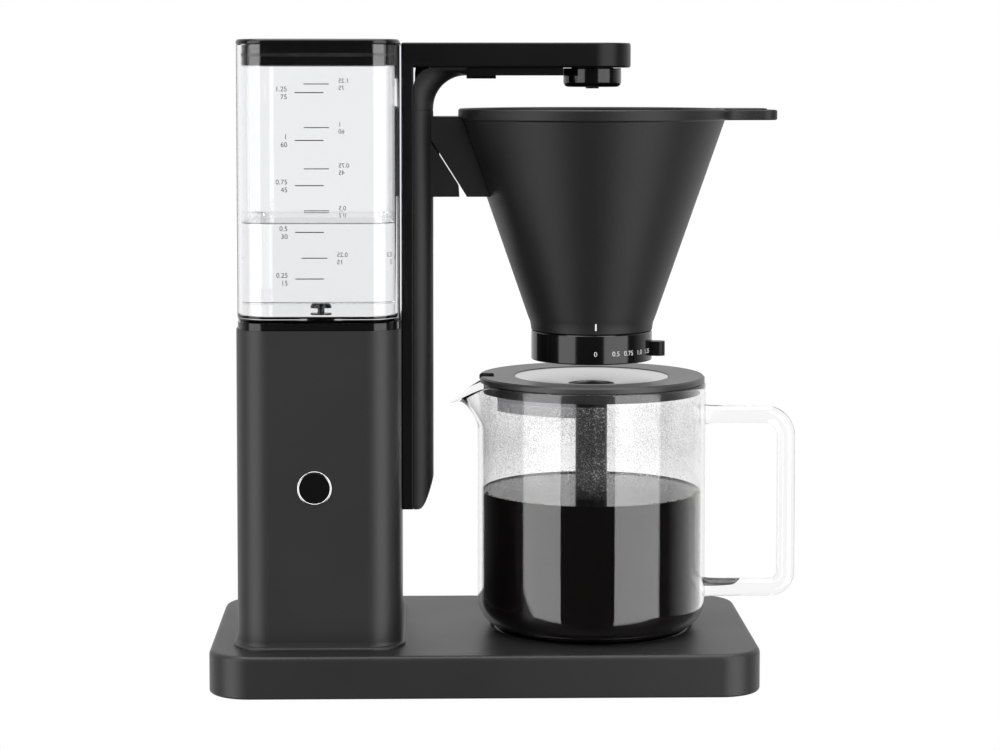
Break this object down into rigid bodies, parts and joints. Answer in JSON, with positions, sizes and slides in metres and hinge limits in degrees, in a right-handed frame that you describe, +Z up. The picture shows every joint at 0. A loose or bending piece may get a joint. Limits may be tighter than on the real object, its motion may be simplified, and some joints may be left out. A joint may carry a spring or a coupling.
{
  "type": "filter coffee brewer",
  "caption": "Filter coffee brewer with clear tank on a tower, side column and brew arm, hanging filter holder with flow ring, and lidded glass carafe.",
  "frame": {"origin": "middle of the object's footprint on the floor it stands on, carafe handle included", "axes": "+Z up, +X from the water tank towards the carafe handle, -Y towards the front"},
  "size_m": [0.3434, 0.17, 0.3749],
  "materials": {
    "base_satin": "fine satin dark grey paint",
    "tower_satin": "fine satin dark grey paint",
    "black_gloss": "polished black plastic",
    "black_satin": "smooth satin black plastic",
    "black_grain": "fine grained matte black plastic",
    "lid_grey": "satin dark grey plastic",
    "clear_plastic": "clear moulded plastic",
    "carafe_glass": "clear borosilicate glass",
    "smoky_plastic": "smoked clear plastic",
    "steel_satin": "satin steel",
    "chrome": "polished chrome",
    "rubber": "black rubber",
    "silicone": "milky silicone hose",
    "seal_red": "red silicone seal",
    "cast_alloy": "cast aluminium",
    "zinc_steel": "zinc plated steel",
    "cream_plastic": "cream technical plastic",
    "board_green": "green circuit board"
  },
  "bodies": {
    "chassis": {"base_shell": "base_satin", "base_pan": "black_satin", "rubber_feet": "rubber", "base_screws": "zinc_steel", "warming_plate": "black_satin", "plate_seal": "rubber", "plate_heater": "cast_alloy", "plate_thermostat": "cream_plastic", "plate_bracket": "zinc_steel", "cable_gland": "black_satin", "tower_shell": "tower_satin", "tower_collar": "black_gloss", "seat_gasket": "rubber", "seat_pin": "steel_satin", "badge_ring": "chrome", "badge_disc": "black_gloss", "switch_module": "cream_plastic", "terminal_block": "cream_plastic", "control_board": "board_green", "board_standoffs": "zinc_steel", "inlet_hoses": "silicone", "check_valve": "cream_plastic", "boiler": "cast_alloy", "boiler_bracket": "zinc_steel", "boiler_thermostat": "cream_plastic", "thermal_fuse": "cream_plastic", "riser_hose": "silicone", "column_frame": "black_satin", "column_cover": "black_grain", "gooseneck": "black_grain", "under_cover": "black_satin", "latch_block": "black_satin", "riser_tube": "silicone", "column_screws": "zinc_steel", "hook_bracket": "black_grain", "nozzle_seal": "seal_red"},
    "tank": {"tank_body": "clear_plastic", "valve_seat": "black_satin", "valve_spring": "steel_satin"},
    "tank_valve": {"valve_poppet": "black_gloss"},
    "tank_cover": {"tank_lid": "black_gloss", "tank_lid_seal": "rubber"},
    "filter_holder": {"filter_cone": "black_grain", "hook_arm": "black_grain", "spigot_clip": "steel_satin", "spigot_seal": "seal_red"},
    "flow_control": {"flow_ring": "black_satin", "ring_lever": "black_satin", "shutter_disc": "cream_plastic"},
    "nozzle": {"nozzle_cup": "black_gloss", "spray_insert": "black_satin"},
    "carafe": {"carafe_glass": "carafe_glass", "carafe_handle": "carafe_glass"},
    "carafe_lid": {"carafe_lid_ring": "lid_grey", "lid_dish": "steel_satin", "lid_gasket": "smoky_plastic", "mixing_tube": "black_satin"},
    "button": {"power_button": "black_satin"},
    "valve_ball": {"check_ball": "steel_satin"}
  },
  "joints": [
    {"name": "tank_lift", "type": "slide", "parent": "chassis", "child": "tank", "axis": [0, 0, 1], "range_m": [0, 0.17]},
    {"name": "tank_valve_travel", "type": "slide", "parent": "tank", "child": "tank_valve", "axis": [0, 0, 1], "range_m": [-0.0015, 0], "deforming": ["valve_spring"]},
    {"name": "tank_cover_lift", "type": "slide", "parent": "tank", "child": "tank_cover", "axis": [0, 0, 1], "range_m": [0, 0.05]},
    {"name": "holder_pull", "type": "slide", "parent": "chassis", "child": "filter_holder", "axis": [1, 0, 0], "range_m": [0, 0.2]},
    {"name": "flow_turn", "type": "hinge", "parent": "filter_holder", "child": "flow_control", "pos_m": [0.05035, 0, 0.195], "axis": [0, 0, 1], "range_deg": [-61.3, 0]},
    {"name": "nozzle_twist", "type": "hinge", "parent": "chassis", "child": "nozzle", "pos_m": [0.05035, 0, 0.352], "axis": [0, 0, 1], "range_deg": [0, 30]},
    {"name": "carafe_draw", "type": "slide", "parent": "chassis", "child": "carafe", "axis": [0, -1, 0], "range_m": [0, 0.25]},
    {"name": "carafe_lid_lift", "type": "slide", "parent": "carafe", "child": "carafe_lid", "axis": [0, 0, 1], "range_m": [0, 0.009]},
    {"name": "button_press", "type": "slide", "parent": "chassis", "child": "button", "axis": [1, 0, 0], "range_m": [0, 0.0025], "stiffness_N_per_m": 300},
    {"name": "ball_lift", "type": "slide", "parent": "chassis", "child": "valve_ball", "axis": [0, 0, 1], "range_m": [0, 0.004]}
  ],
  "couplings": [
    {"joint": "tank_valve_travel", "follows": "tank_lift", "ratio": -0.0088}
  ]
}
